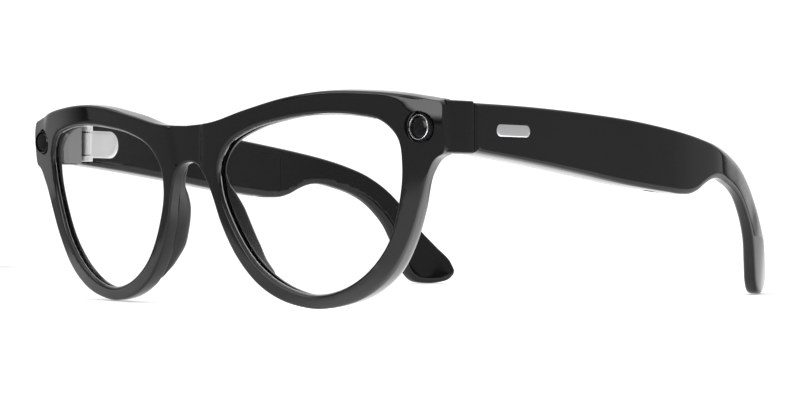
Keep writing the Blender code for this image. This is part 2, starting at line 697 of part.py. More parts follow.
def make_temple(side, tag):
    place = temple_place(side)
    outline = smooth_curve(TEMPLE_EDGE, TEMPLE_SPACING)
    edge = [(0.7, 0, 0), (0.2, 0, 0.2), (0, 0, 0.7), (0, 1, -1.0), (0.35, 1, -0.3), (1.0, 1, 0)]
    inlay_hole = stadium(*INLAY, INLAY_LENGTH + 2 * GAP, INLAY_HEIGHT + 2 * GAP)
    shell = slab("temple_shell_" + tag, "black", place, temple_thickness, outline, edge,
                 front_pockets=[(inlay_hole, INLAY_RECESS)], back_pockets=[(pocket_loop(0.0), POCKET_FLOOR)])
    slab("temple_inlay_" + tag, "foil", place, temple_thickness, stadium(*INLAY, INLAY_LENGTH, INLAY_HEIGHT),
         [(0, 0, 0.02), (0, 0, INLAY_RECESS - GAP)])
    notch = sided(side, CUT_FROM, NOTCH_OUTER)
    boolean(shell, box("hinge_notch", None, notch, (NOTCH_FRONT, PLATE_FRONT + 0.2), NOTCH_Z), "DIFFERENCE")
    inner = value_at(TEMPLE_PLAN, PLATE_BACK) - value_at(TEMPLE_THICKNESS, PLATE_BACK)
    sunk = sided(side, CUT_FROM, inner + PLATE_SINK + GAP)
    recess = [(p.x, p.y) for p in plate_loop(GAP)]
    boolean(shell, prism("plate_recess", None, recess, *sunk, axis="X"), "DIFFERENCE")
    for start in SOUND_SLOTS:
        across = sided(side, *SOUND_SLOT_X)
        boolean(shell, box("sound_slot", None, across, (start, start + SOUND_SLOT_LENGTH), SOUND_SLOT_Z), "DIFFERENCE")
    holes = []
    lid = [(0, 1, -LID_THICKNESS), (0, 1, -0.2), (0.2, 1, 0)]
    if side > 0:
        slot = stadium(SWITCH_Y + SWITCH_TRAVEL / 2, SWITCH_Z, SWITCH_SIZE[0] + SWITCH_TRAVEL + 2 * GAP, SWITCH_SIZE[1] + 2 * GAP)
        holes.append((slot, lid))
    slab("temple_cover_" + tag, "inner", place, temple_thickness, pocket_loop(GAP), lid, holes)
    return shell


def block(side, name, look, y, z, depth):
    """A flat piece lying along the temple, between two depths from its outer face."""
    corners = [Vector((y[0], z[0])), Vector((y[1], z[0])), Vector((y[1], z[1])), Vector((y[0], z[1]))]
    return slab(name, look, temple_place(side), temple_thickness, corners, [(0, 0, depth[0]), (0, 0, depth[1])])


def make_left_temple():
    make_temple(1, "left")
    for part in LEFT_PARTS:
        block(1, *part)
    outline = stadium(SWITCH_Y, SWITCH_Z, *SWITCH_SIZE)
    slab("power_switch", "inner", temple_place(1), temple_thickness, outline,
         [(0, 1, -1.0), (0, 1, SWITCH_PROUD - 0.15), (0.15, 1, SWITCH_PROUD)])


def make_right_temple():
    shell = make_temple(-1, "right")
    x = -(value_at(TEMPLE_PLAN, BUTTON_Y) - value_at(TEMPLE_THICKNESS, BUTTON_Y) / 2)
    hole = [(p.y, p.x) for p in stadium(BUTTON_Y, x, BUTTON_LENGTH + 2 * GAP, BUTTON_WIDTH + 2 * GAP)]
    boolean(shell, prism("button_hole", None, hole, *BUTTON_HOLE_Z), "DIFFERENCE")
    cap_edge = [(p.y, p.x) for p in stadium(BUTTON_Y, x, BUTTON_LENGTH, BUTTON_WIDTH)]
    prism("capture_button", "black", cap_edge, BUTTON_BOTTOM, BUTTON_TOP, origin=(x, BUTTON_Y, BUTTON_TOP))
    wide, long = BUTTON_SWITCH_HALF
    box("button_switch", "foil", (x - wide, x + wide), (BUTTON_Y - long, BUTTON_Y + long), BUTTON_SWITCH_Z)
    for part in RIGHT_PARTS:
        block(-1, *part)


def main():
    for old in list(bpy.data.objects):
        bpy.data.objects.remove(old, do_unlink=True)
    make_front_frame()
    make_lenses()
    make_nose_pads()
    make_brow()
    make_camera()
    make_light()
    make_end_covers()
    make_hinges()
    make_left_temple()
    make_right_temple()


main()
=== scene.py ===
"""Looks of the camera glasses: fine meshes, materials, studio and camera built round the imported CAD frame.

Lengths are in millimetres in the tables and become metres in point(). The frame's +X is the wearer's left,
+Y runs back along the temples, and Z is the height over the table.
"""

import math

import bmesh
import bpy
import numpy as np
from mathutils import Matrix, Vector, geometry


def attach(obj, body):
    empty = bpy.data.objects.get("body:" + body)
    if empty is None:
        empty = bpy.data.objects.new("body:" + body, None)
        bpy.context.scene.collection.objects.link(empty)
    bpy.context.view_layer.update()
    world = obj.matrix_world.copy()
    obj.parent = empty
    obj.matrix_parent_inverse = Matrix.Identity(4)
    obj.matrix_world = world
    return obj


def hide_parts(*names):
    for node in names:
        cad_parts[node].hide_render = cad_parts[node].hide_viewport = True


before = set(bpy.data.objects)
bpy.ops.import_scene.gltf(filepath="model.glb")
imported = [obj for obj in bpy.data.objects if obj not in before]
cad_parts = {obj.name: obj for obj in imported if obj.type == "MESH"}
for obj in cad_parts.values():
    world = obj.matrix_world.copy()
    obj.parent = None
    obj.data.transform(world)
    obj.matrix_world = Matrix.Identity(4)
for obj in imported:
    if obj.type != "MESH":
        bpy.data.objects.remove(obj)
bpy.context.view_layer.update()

MM = 0.001
DEPTH_MIDDLE = 77.48

# ---- driving sizes -------------------------------------------------------------------------------------
# They follow the CAD within 0.9 mm, with three exceptions: the nose pads have an upper leg, the sound slots
# are cut about 1.5 mm further out, and the corner of each end piece differs by up to 1.4 mm.

FACE_RADIUS = 239.0
FACE_TILT = math.radians(7.44)
LENS_HEIGHT = 22.965
FRONT_THICKNESS = [(0, 3.8), (10, 3.5), (20, 3.1), (33, 3.1), (42, 4.3)]
GROOVE_FRONT = 0.95
GROOVE_BACK = 2.65
GROOVE_DEPTH = 0.9
BROW_EDGE = [(0, 19.3), (8.4, 19.8), (19.8, 22.2), (32.5, 24.5), (42, 25.25), (52.5, 24.7), (61.8, 23.4),
             (69.2, 21.65)]
END_EDGE = [(70.7, 21.4), (70.8, 20.4), (70.8, 15.4), (70.8, 10.5), (70.65, 9.95), (69.5, 9.75),
            (68.3, 8.85), (67.1, 6.9)]
RIM_EDGE = [(65.9, 4.0), (64.2, -0.7), (61.1, -8.2), (55.5, -16.2), (47.5, -21.3), (41, -23.0),
            (35.3, -23.5), (30, -22.8), (24, -20.9), (19.0, -17.9), (14.0, -12.7), (9.2, -3.9), (6.9, 3.4),
            (5.1, 7.6), (2.6, 10.2), (0, 10.8)]
LENS_REACH = 0.62
LENS_FRONT = 1.02
LENS_BACK = 2.58
LENS_OPENING = [(60.5, 8.2), (60.1, 14.0), (56.5, 18.0), (51.0, 19.5), (41.5, 20.35), (30.4, 19.6),
                (20.6, 17.7), (13.2, 14.1), (10.3, 10.0), (9.9, 4.5), (12.8, -4.1), (19.8, -13.9),
                (26.9, -18.4), (35.5, -20.4), (43.0, -19.0), (50.7, -14.4), (56.0, -8.1), (58.9, -0.5)]
PAD_EDGE = [(6.4, 5.6), (7.5, 1.4), (9.4, -4.2), (11.9, -9.4), (14.6, -13.0), (16.6, -15.2), (18.4, -16.8),
            (19.9, -17.3), (20.4, -16.1), (18.4, -14.0), (16.4, -12.0), (14.3, -8.8), (12.3, -4.4),
            (10.7, 0.0), (9.6, 3.6), (8.9, 6.0), (8.2, 8.6), (7.0, 10.6), (5.2, 11.0), (4.6, 9.8),
            (5.6, 7.9)]
PAD_REACH = [(6.6, 1.2), (7.7, 1.8), (9.0, 2.6), (10.7, 3.2), (12.7, 3.9), (14.6, 4.3), (22.4, 4.2),
             (26.0, 3.0), (28.2, 1.7), (30.0, 1.45), (34.0, 1.4)]
CHANNEL_PATH = [(0, 38.5), (10, 40.0), (20.6, 42.8), (30, 44.7), (42, 45.8), (52, 45.2), (62, 43.2)]
MODULE_X = 65.6
MODULE_Z = 40.1
MODULE_FACE = 6.4
HINGE_X = 63.9
HINGE_Y = 19.9
TEMPLE_FRONT = 18.1
TEMPLE_EDGE = [(TEMPLE_FRONT, 45.6), (35, 45.45), (54, 44.8), (72, 43.7), (90, 41.75), (103, 40.05),
               (113.7, 38.2), (121.5, 36.2), (129.5, 33.2), (136.5, 28.7), (142.0, 23.4), (147.3, 17.0),
               (152.5, 11.2), (156.6, 6.3), (157.4, 3.2), (155.8, 1.2), (152.6, 0.2), (149, 0.0),
               (145.4, 0.7), (143, 3.0), (141.2, 7.2), (139.2, 12.8), (136.4, 18.1), (133, 22.0),
               (129, 25.3), (124.5, 27.6), (119, 29.3), (114.5, 30.3), (111.3, 30.5), (108, 30.0),
               (104.6, 28.9), (100.8, 27.3), (97.5, 26.5), (93, 26.3), (86.5, 26.8), (72, 28.2),
               (53, 30.7), (35, 32.9), (TEMPLE_FRONT, 34.7)]
TIP_TURN = (157.4, 3.2)
HOOK_START = 133  # past it the lower edge has turned down into the tip
TEMPLE_PLAN = [(18, 71.9), (40, 72.9), (60, 73.7), (80, 74.8), (92, 75.0), (103, 74.0), (112, 72.6),
               (125, 69.4), (137, 66.2), (148, 63.2), (158, 58.6)]
TIP_TUCK = 1.2
TIP_TUCK_HEIGHT = 15.0
TEMPLE_THICKNESS = [(18, 7.0), (60, 6.6), (90, 5.9), (100, 4.9), (112, 3.8), (125, 3.2), (137, 3.4),
                    (150, 4.1), (160, 4.1)]
INLAY = (30.5, 39.8)
INLAY_LENGTH = 11.0
INLAY_HEIGHT = 2.6
PLATE = (21.6, 31.8, 36.3, 43.5)  # hinge plate: front, back, bottom, top
SIDES = ((1, "left"), (-1, "right"))
BROW_RISE = 0.14  # the top of the brow climbs towards the back
CREASE = [(38, 54.5), (46, 52.2), (54.6, 49.3), (57, 48.3), (59.3, 47.2), (61.8, 45.8), (64.1, 44.2),
          (66.5, 43.0), (69, 42.4), (72, 42.2)]
FACET_SLOPE = 0.22
FACET_STEP = 3.1  # height of the lower step of the crease, near the end
FACET_SHARE = 0.32  # its share of the slope
BRIDGE_DIP = 0.45
BRIDGE_EDGE = 6.2
MODULE_HOLE = {1: 3.4, -1: 3.25}
ARM_TOP = 45.95
ARM_BOTTOM = 34.4
ARM_INNER = 64.5
ARM_OUTER = 70.75
ARM_FLARE = 0.132
END_POCKET = ((63.5, 70.0), (11.9, 16.5), (35.5, 44.2))
END_SLOT = ((63.5, 65.5), (12.7, 18.5), (35.0, 44.9))
CHANNEL_HALF = 1.15
CHANNEL_EXTRA = 1.1
FORK_KNUCKLES = ((35.3, 36.7), (43.2, 44.6))
FORK_RADIUS = 1.6
REAR_KNUCKLE = (37.1, 42.8)
REAR_RADIUS = 1.25
BORE_RADIUS = 0.7
SWITCH_OPENING = (6.8, 2.4)
SWITCH_SIZE = (3.2, 1.8)
BUTTON_HOLE = (7.3, 2.7)
BUTTON_SIZE = (7.0, 2.4)
LEAF_ACROSS = (64.5, 65.2)
LEAF = (13.0, 17.9, 18.8)  # front, back, and back of the knuckle arms
POCKET = (36.0, 96.5)
POCKET_WALL = 2.3
BUTTON_AT = 42.0
SWITCH_HEIGHT = 38.6
SOUND_SLOTS = (82.0, 88.0)
SOUND_SLOT = ((70.2, 71.4), 4.4, (20.0, 30.5))  # across, length, height


# ---- curves and loops ----------------------------------------------------------------------------------


def point(x, y, z):
    return Vector((x * MM, (y - DEPTH_MIDDLE) * MM, z * MM))


def slopes(points, closed):
    """Tangents of the smooth curve at its control points."""
    count = len(points)
    result = []
    for i, here in enumerate(points):
        before = points[i - 1] if closed or i else here
        after = points[(i + 1) % count] if closed or i < count - 1 else here
        near = (here - before).length
        far = (after - here).length
        if near == 0:
            result.append((after - here) / far)
        elif far == 0:
            result.append((here - before) / near)
        else:
            result.append(((here - before) / near * far + (after - here) / far * near) / (near + far))
    return result


def smooth_curve(control, spacing, closed=False):
    """Points at about the given spacing on a smooth curve through the control points."""
    points = [Vector(p) for p in control]
    tangents = slopes(points, closed)
    last = len(points) if closed else len(points) - 1
    result = []
    for i in range(last):
        a = points[i]
        b = points[(i + 1) % len(points)]
        span = (b - a).length
        steps = max(1, round(span / spacing))
        for k in range(steps):
            t = k / steps
            rise = t * t * (3 - 2 * t)
            out = t * (1 - t) ** 2 * span
            into = t * t * (t - 1) * span
            bow = tangents[i] * out + tangents[(i + 1) % len(points)] * into
            result.append(a * (1 - rise) + b * rise + bow)
    if not closed:
        result.append(points[-1])
    return result


def relaxed(loop, rounds=2):
    """The loop with its small kinks smoothed away."""
    for _ in range(rounds):
        count = len(loop)
        loop = [loop[i] * 0.5 + (loop[i - 1] + loop[(i + 1) % count]) * 0.25 for i in range(count)]
    return loop


def value_at(table, where):
    """Height of the smooth curve through (where, value) points, held level past its ends."""
    if where <= table[0][0]:
        return table[0][1]
    if where >= table[-1][0]:
        return table[-1][1]
    rates = []
    for i in range(len(table)):
        low = table[max(i - 1, 0)]
        high = table[min(i + 1, len(table) - 1)]
        rates.append((high[1] - low[1]) / (high[0] - low[0]))
    i = 0
    while table[i + 1][0] < where:
        i += 1
    span = table[i + 1][0] - table[i][0]
    t = (where - table[i][0]) / span
    rise = t * t * (3 - 2 * t)
    bend = t * (1 - t) ** 2 * span * rates[i] + t * t * (t - 1) * span * rates[i + 1]
    return table[i][1] * (1 - rise) + table[i + 1][1] * rise + bend


def signed_area(loop):
    return sum(a.x * b.y - b.x * a.y for a, b in zip(loop, loop[1:] + loop[:1])) / 2


def inset(loop, distance):
    """The loop moved sideways, inwards for a positive distance, and less at tight bends."""
    turn = 1 if signed_area(loop) > 0 else -1
    count = len(loop)
    ways = []
    for i, here in enumerate(loop):
        before = (here - loop[i - 1]).normalized()
        after = (loop[(i + 1) % count] - here).normalized()
        along = (before + after).normalized()
        stretch = min(1 / max(along.dot(after), 0.5), 1.5)
        ways.append(Vector((-along.y, along.x)) * turn * stretch)
    amounts = [distance] * count
    for _ in range(30):
        result = [p + way * amount for p, way, amount in zip(loop, ways, amounts)]
        tight = set()
        for i in range(count):
            j = (i + 1) % count
            span = loop[j] - loop[i]
            if (result[j] - result[i]).dot(span) < 0.15 * span.dot(span):
                tight.update((i, j))
        if not tight:
            break
        for i in tight:
            amounts[i] *= 0.85
    return result


def circle(across, up, radius, sides):
    steps = [2 * math.pi * i / sides for i in range(sides)]
    return [Vector((across + radius * math.cos(a), up + radius * math.sin(a))) for a in steps]


def stadium(across, up, length, width, sides=16):
    radius = width / 2
    reach = length / 2 - radius
    result = []
    for end, start in ((1, -math.pi / 2), (-1, math.pi / 2)):
        for i in range(sides + 1):
            angle = start + math.pi * i / sides
            x = across + end * reach + radius * math.cos(angle)
            result.append(Vector((x, up + radius * math.sin(angle))))
    return result


def ease(value, low, high):
    t = min(max((value - low) / (high - low), 0.0), 1.0)
    return t * t * (3 - 2 * t)


# ---- meshes --------------------------------------------------------------------------------------------


POCKET_LIP = 0.03
SHARP_ANGLE = 32


def ring_faces(bm, first, second):
    for i in range(len(first)):
        j = (i + 1) % len(first)
        bm.faces.new((first[i], first[j], second[j], second[i]))


def inside_all(points, loops):
    """Which of the points lie inside the first loop and outside the others."""
    keep = np.ones(len(points), bool)
    for k, loop in enumerate(loops):
        a = np.array([(p.x, p.y) for p in loop])
        b = np.roll(a, -1, axis=0)
        x = points[:, 0:1]
        y = points[:, 1:2]
        crosses = (a[:, 1] > y) != (b[:, 1] > y)
        rise = np.where(b[:, 1] == a[:, 1], 1e-12, b[:, 1] - a[:, 1])
        hit = crosses & (x < a[:, 0] + (b[:, 0] - a[:, 0]) * (y - a[:, 1]) / rise)
        odd = hit.sum(axis=1) % 2 == 1
        keep &= odd if k == 0 else ~odd
    return keep


def far_from(points, loops, distance):
    keep = np.ones(len(points), bool)
    for loop in loops:
        a = np.array([(p.x, p.y) for p in loop])
        for start in range(0, len(points), 400):
            part = points[start:start + 400]
            gap = np.sqrt(((part[:, None, :] - a[None, :, :]) ** 2).sum(axis=2)).min(axis=1)
            keep[start:start + 400] &= gap > distance
    return keep


def fill(bm, flats, rings, grid, surface):
    """Fill between loops with triangles, on a grid of extra points that lie on the surface."""
    spots = [p.copy() for loop in flats for p in loop]
    verts = [v for ring in rings for v in ring]
    edges = []
    start = 0
    for loop in flats:
        count = len(loop)
        edges += [(start + i, start + (i + 1) % count) for i in range(count)]
        start += count
    if grid:
        low_x = min(p.x for p in flats[0])
        high_x = max(p.x for p in flats[0])
        low_y = min(p.y for p in flats[0])
        high_y = max(p.y for p in flats[0])
        rows = []
        for j in range(int((high_y - low_y) / (grid * 0.866)) + 1):
            for i in range(int((high_x - low_x) / grid) + 1):
                rows.append((low_x + grid * (i + 0.5 * (j % 2)), low_y + grid * 0.866 * j))
        points = np.array(rows)
        points = points[inside_all(points, flats)]
        if len(points):
            points = points[far_from(points, flats, grid * 0.6)]
        for x, y in points:
            spots.append(Vector((x, y)))
            verts.append(bm.verts.new(surface(x, y)))
    made, _, faces = geometry.delaunay_2d_cdt(spots, edges, [], 0, 1e-6)[:3]
    if len(made) != len(spots):
        raise ValueError("a fill's loops cross, near %s" % [tuple(p) for p in made[len(spots):][:4]])
    middles = np.array([sum((np.array(spots[k]) for k in face), np.zeros(2)) / 3 for face in faces])
    wanted = inside_all(middles, flats)
    for (a, b, c), use in zip(faces, wanted):
        if use:
            bm.faces.new((verts[a], verts[b], verts[c]))


def finish_mesh(name, bm, angle=SHARP_ANGLE):
    bmesh.ops.recalc_face_normals(bm, faces=bm.faces[:])
    mesh = bpy.data.meshes.new(name)
    bm.to_mesh(mesh)
    bm.free()
    mesh.shade_smooth()
    mesh.set_sharp_from_angle(angle=math.radians(angle))
    made = bpy.data.objects.new(name, mesh)
    bpy.context.scene.collection.objects.link(made)
    return made


def slab(name, place, thickness, outline, profile, holes=(), front_pockets=(), back_pockets=(), grid=1.4,
         soften=None):
    """A plate that follows a curved surface. Profile steps are (inset, share of the thickness, extra depth).

    soften(x, y, share) scales the insets of the outline from place to place.
    """
    bm = bmesh.new()

    def ring(loop, step):
        sideways, share, extra = step
        flat = inset(loop, sideways)
        if soften and loop is outline:
            flat = [p + (q - p) * soften(p.x, p.y, share) for p, q in zip(loop, flat)]
        return flat, [bm.verts.new(place(p.x, p.y, share * thickness(p.x, p.y) + extra)) for p in flat]

    fronts = []
    backs = []
    for loop, edge in [(outline, profile), *holes]:
        rings = [ring(loop, step) for step in edge]
        for first, second in zip(rings, rings[1:]):
            ring_faces(bm, first[1], second[1])
        fronts.append(rings[0])
        backs.append(rings[-1])
    ends = (profile[0], profile[-1])
    for pockets, openings, end in ((front_pockets, fronts, ends[0]), (back_pockets, backs, ends[1])):
        for loop, share, floor in pockets:
            lip = POCKET_LIP if end is ends[0] else -POCKET_LIP
            steps = [(-POCKET_LIP, end[1], end[2]), (0, end[1], end[2] + lip), (0, share, floor)]
            rings = [ring(loop, step) for step in steps]
            for first, second in zip(rings, rings[1:]):
                ring_faces(bm, first[1], second[1])
            bottom = rings[-1]
            fill(bm, [bottom[0]], [bottom[1]], grid,
                 lambda x, y: place(x, y, share * thickness(x, y) + floor))
            openings.append(rings[0])
    for side, end in ((fronts, ends[0]), (backs, ends[1])):
        fill(bm, [flat for flat, _ in side], [made for _, made in side], grid,
             lambda x, y: place(x, y, end[1] * thickness(x, y) + end[2]))
    return finish_mesh(name, bm)


def round_edge(radius, steps=5):
    """Profile steps round a front edge of the given radius."""
    angles = [math.radians(90 - 90 * i / steps) for i in range(steps + 1)]
    return [(radius * (1 - math.cos(angle)), 0, radius * (1 - math.sin(angle))) for angle in angles]


def turned(name, profile, centre, axis="Y", sides=72, bored=False, angle=SHARP_ANGLE):
    """A turned solid: profile lists (distance along the axis, radius), and bored closes it round a hole."""
    bm = bmesh.new()
    rings = []
    for along, radius in profile:
        made = []
        for p in circle(0, 0, radius, sides):
            if axis == "Y":
                made.append(bm.verts.new(point(centre[0] + p.x, along, centre[1] + p.y)))
            else:
                made.append(bm.verts.new(point(centre[0] + p.x, centre[1] + p.y, along)))
        rings.append(made)
    for first, second in zip(rings, rings[1:]):
        ring_faces(bm, first, second)
    if bored:
        ring_faces(bm, rings[-1], rings[0])
    else:
        bm.faces.new(rings[0])
        bm.faces.new(rings[-1])
    return finish_mesh(name, bm, angle)


def prism(name, corners, low, high, axis="Z"):
    """A straight prism: corners are (x, y) for axis Z and (y, z) for axis X."""
    bm = bmesh.new()

    def spot(a, b, level):
        return point(a, b, level) if axis == "Z" else point(level, a, b)

    first = [bm.verts.new(spot(a, b, low)) for a, b in corners]
    second = [bm.verts.new(spot(a, b, high)) for a, b in corners]
    bm.faces.new(first)
    bm.faces.new(second)
    ring_faces(bm, first, second)
    return finish_mesh(name, bm)


def box(name, x, y, z):
    return prism(name, [(x[0], y[0]), (x[1], y[0]), (x[1], y[1]), (x[0], y[1])], z[0], z[1])


def combine(target, tools, angle=SHARP_ANGLE):
    """Cut or join the tools, given as (object, operation), and keep only the result."""
    for tool, operation in tools:
        step = target.modifiers.new("step", "BOOLEAN")
        step.object = tool
        step.operation = operation
        step.solver = "EXACT"
    graph = bpy.context.evaluated_depsgraph_get()
    mesh = bpy.data.meshes.new_from_object(target.evaluated_get(graph), depsgraph=graph)
    target.modifiers.clear()
    old = target.data
    target.data = mesh
    bpy.data.meshes.remove(old)
    for tool, _ in tools:
        bpy.data.objects.remove(tool, do_unlink=True)
    mesh.shade_smooth()
    mesh.set_sharp_from_angle(angle=math.radians(angle))
    return target


# ---- the front -----------------------------------------------------------------------------------------


def front_height(x, up):
    return LENS_HEIGHT + math.cos(FACE_TILT) * up + math.sin(FACE_TILT) * x * x / (2 * FACE_RADIUS)


def front_y(x, z):
    """Depth of the bowed and tilted front face."""
    bow = x * x / (2 * FACE_RADIUS)
    up = (z - LENS_HEIGHT - math.sin(FACE_TILT) * bow) / math.cos(FACE_TILT)
    return math.cos(FACE_TILT) * bow - math.sin(FACE_TILT) * up


def bend(over, soft):
    """Height above a crease that is rounded over `soft` on each side."""
    if abs(over) > soft:
        return max(over, 0.0)
    return (over + soft) ** 2 / (4 * soft)


def facet(x, z):
    """How far the end of the brow falls back above its soft crease, which is in two steps near the end."""
    over = z - value_at(CREASE, abs(x))
    lower = FACET_STEP * ease(abs(x), 61.0, 65.0)
    near = FACET_SHARE * bend(over + lower, 0.4) + (1 - FACET_SHARE) * bend(over, 1.1)
    return FACET_SLOPE * near * ease(abs(x), 30, 50)


def bridge_dip(x, z):
    """The face of the bridge lies a little behind the two rims."""
    ridge = BRIDGE_EDGE - 0.15 * max(42.0 - z, 0.0)
    return BRIDGE_DIP * (1 - ease(abs(x), ridge - 1.2, ridge + 0.4)) * ease(z, 30.0, 34.0)


def front_place(x, z, depth):
    """A point of the front at a depth behind its face; the facet and the dip fade out towards the back."""
    share = max(1 - depth / 3.0, 0.0)
    y = front_y(x, z) + depth + (facet(x, z) + bridge_dip(x, z)) * share
    return point(x, y, z + BROW_RISE * max(depth, 0) * ease(z, 42.0, 45.0) * ease(abs(x), 4, 13))


def front_thickness(x, z):
    """The front is thinner beside the lenses, where it meets the arm from below."""
    near = max(1.0 - abs(z - 30.0) / 7.0, 0.0)
    outside = min(max((abs(x) - 61.5) / 3.0, 0.0), 1.0)
    return value_at(FRONT_THICKNESS, z) - 0.8 * near * outside


def raised(control):
    return [(x, front_height(x, up)) for x, up in control]


def mirrored(loop):
    return [Vector((-p.x, p.y)) for p in loop]


def front_outline(spacing):
    half = smooth_curve(raised(BROW_EDGE), spacing)
    end = [Vector(p) for p in raised(BROW_EDGE[-1:] + END_EDGE + RIM_EDGE[:1])]
    half += smooth_curve(end, spacing)[1:-1]
    half += smooth_curve(raised(RIM_EDGE), spacing)
    return relaxed(half + mirrored(half[1:-1])[::-1], 2)


def lens_loop(side, spacing):
    loop = relaxed(smooth_curve(raised(LENS_OPENING), spacing, closed=True), 4)
    return loop if side > 0 else mirrored(loop)


def channel_strip(start, end):
    """Outline of the cable channel in the back of the brow, wider at the bridge."""
    steps = round((end - start) / 1.5)
    spots = [start + (end - start) * i / steps for i in range(steps + 1)]
    upper = []
    lower = []
    for x in spots:
        widen = min(max((11.0 - abs(x)) / 2.0, 0.0), 1.0)
        half = CHANNEL_HALF + CHANNEL_EXTRA * widen
        middle = value_at(CHANNEL_PATH, abs(x))
        upper.append(Vector((x, middle + half)))
        lower.append(Vector((x, middle - half)))
    return upper + lower[::-1]


def end_arm(side):
    """The part of an end piece that runs back from the front to the hinge, with rounded edges."""
    bm = bmesh.new()
    rings = []
    straight = [(y, 0.0) for y in (9.9, 10.4, 11.0, 12.0, 13.0, 15.0, 17.3)]
    for y, shrink in [*straight, (17.55, 0.04), (17.7, 0.13), (17.8, 0.3)]:
        outer = ARM_OUTER + (y - 9.6) * ARM_FLARE - shrink
        inner = ARM_INNER + shrink
        top = ARM_TOP - shrink
        bottom = ARM_BOTTOM + shrink
        corners = ((outer, top, 0.4, 90), (inner, top, 0.3, 180), (inner, bottom, 0.3, 270),
                   (outer, bottom, 0.45, 360))
        loop = []
        for cx, cz, radius, start in corners:
            sx = -1 if cx == outer else 1
            sz = -1 if cz == top else 1
            for k in range(6):
                angle = math.radians(start - 90 + (90 * k / 5))
                x = cx + sx * radius + radius * math.cos(angle)
                loop.append((x, cz + sz * radius + radius * math.sin(angle)))
        rings.append([bm.verts.new(point(side * x, y, z)) for x, z in loop])
    for first, second in zip(rings, rings[1:]):
        ring_faces(bm, first, second)
    bm.faces.new(rings[0])
    bm.faces.new(rings[-1])
    return finish_mesh("arm", bm)


def flared(centre, radius, mouth, depth):
    """Cutter for a round recess with a small flare at its mouth."""
    profile = [(0.0, radius + 0.15), (mouth, radius + 0.15), (mouth + 0.15, radius), (depth, radius)]
    return turned("recess", profile, centre)


def end_softness(x, z, share):
    """The front's edge is crisper where the end piece joins it, and at the back where the pads do."""
    at_end = ease(abs(x), 64.0, 67.0) * ease(z, 27.0, 31.0)
    at_nose = (1 - ease(abs(x), 20.0, 24.0)) * (1 - ease(z, 31.0, 34.0)) * share
    return 1 - 0.85 * max(at_end, at_nose)


def make_front():
    """The rim with its lens grooves, cable channel, end arms and module recesses, in one piece."""
    rim = [(-0.55, 0, 0.0), (-0.42, 0, 0.03), (-0.22, 0, 0.12), (-0.07, 0, 0.28), (0, 0, 0.5)]
    rim += [(0, 0, GROOVE_FRONT), (-GROOVE_DEPTH, 0, GROOVE_FRONT), (-GROOVE_DEPTH, 0, GROOVE_BACK)]
    rim += [(0, 0, GROOVE_BACK), (0, 1, -0.45), (-0.08, 1, -0.2), (-0.25, 1, -0.06), (-0.5, 1, 0)]
    edge = [(1.5, 0, 0), (1.0, 0, 0)] + round_edge(0.55)
    edge += [(0, 1, -1.3), (0.04, 1, -0.4), (0.14, 1, -0.18), (0.27, 1, -0.05), (0.42, 1, 0)]
    holes = [(lens_loop(side, 0.7), rim) for side in (1, -1)]
    front = slab("front_shell", front_place, front_thickness, front_outline(0.7), edge, holes,
                 back_pockets=[(channel_strip(-62.0, 62.0), 1, -2.2)], grid=0.9, soften=end_softness)
    tools = [(end_arm(side), "UNION") for side in (1, -1)]
    for side in (1, -1):
        for name, (across, along_y, height) in (("pocket", END_POCKET), ("slot", END_SLOT)):
            tools.append((box(name, sorted(side * x for x in across), along_y, height), "DIFFERENCE"))
        mouth = front_y(MODULE_X, MODULE_Z) + facet(MODULE_X, MODULE_Z) - 0.1
        tools.append((flared((side * MODULE_X, MODULE_Z), MODULE_HOLE[side], mouth, 8.8), "DIFFERENCE"))
    combine(front, tools)
    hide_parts("front_frame")
    return front


def plain_place(x, z, depth):
    return point(x, front_y(x, z) + depth, z)


def make_lenses():
    """Clear panes that reach into the groove, with a painted highlight along the front edge: its front bevel
    faces take a pale opaque finish.
    """
    for side, tag in SIDES:
        bevel = 0.15 - LENS_REACH
        steps = [(inwards, 0, LENS_FRONT) for inwards in (0.24, 0.0, bevel)]
        steps += [(-LENS_REACH, 0, depth) for depth in (LENS_FRONT + 0.15, LENS_BACK - 0.15)]
        steps.append((bevel, 0, LENS_BACK))
        lens = slab("lens_pane_" + tag, plain_place, front_thickness, lens_loop(side, 0.9), steps, grid=1.6)
        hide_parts("lens_" + tag)
        dress(lens, "lens", "front")
        # painted highlight: front bevel faces near the outline get a pale opaque finish in place of the edge
        # glint
        lens.data.materials.append(finish_material("lens_edge_painted_highlight"))
        flats = np.array([(face.center.x / MM, face.center.z / MM) for face in lens.data.polygons])
        middle = far_from(flats, [lens_loop(side, 0.2)], 0.2)
        for face, clear in zip(lens.data.polygons, middle):
            face.material_index = 0 if clear or face.normal.y > 0 else 1


def make_nose_pads():
    """Pads that grow out of the back of the rim, with a short leg that runs up to the bridge."""
    def place(x, z, depth):
        return front_place(x, z, front_thickness(x, z) + depth)

    def reach(x, z):
        return value_at(PAD_REACH, z)

    steps = [(0.3, 0, -0.08), (-0.05, 0, -0.08), (-0.08, 0, 0.05), (-0.15, 0.1, 0.35), (-0.23, 0.3, 0.3),
             (-0.23, 0.6, 0), (-0.12, 0.78, 0), (0.04, 0.9, 0), (0.25, 0.97, 0), (0.5, 1, 0)]
    for side, tag in SIDES:
        loop = relaxed(smooth_curve(raised(PAD_EDGE), 0.6, closed=True), 3)
        loop = loop if side > 0 else mirrored(loop)
        pad = slab("nose_rest_" + tag, place, reach, loop, steps, grid=0.9)
        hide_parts("nose_pad_" + tag)
        dress(pad, "gloss", "front")


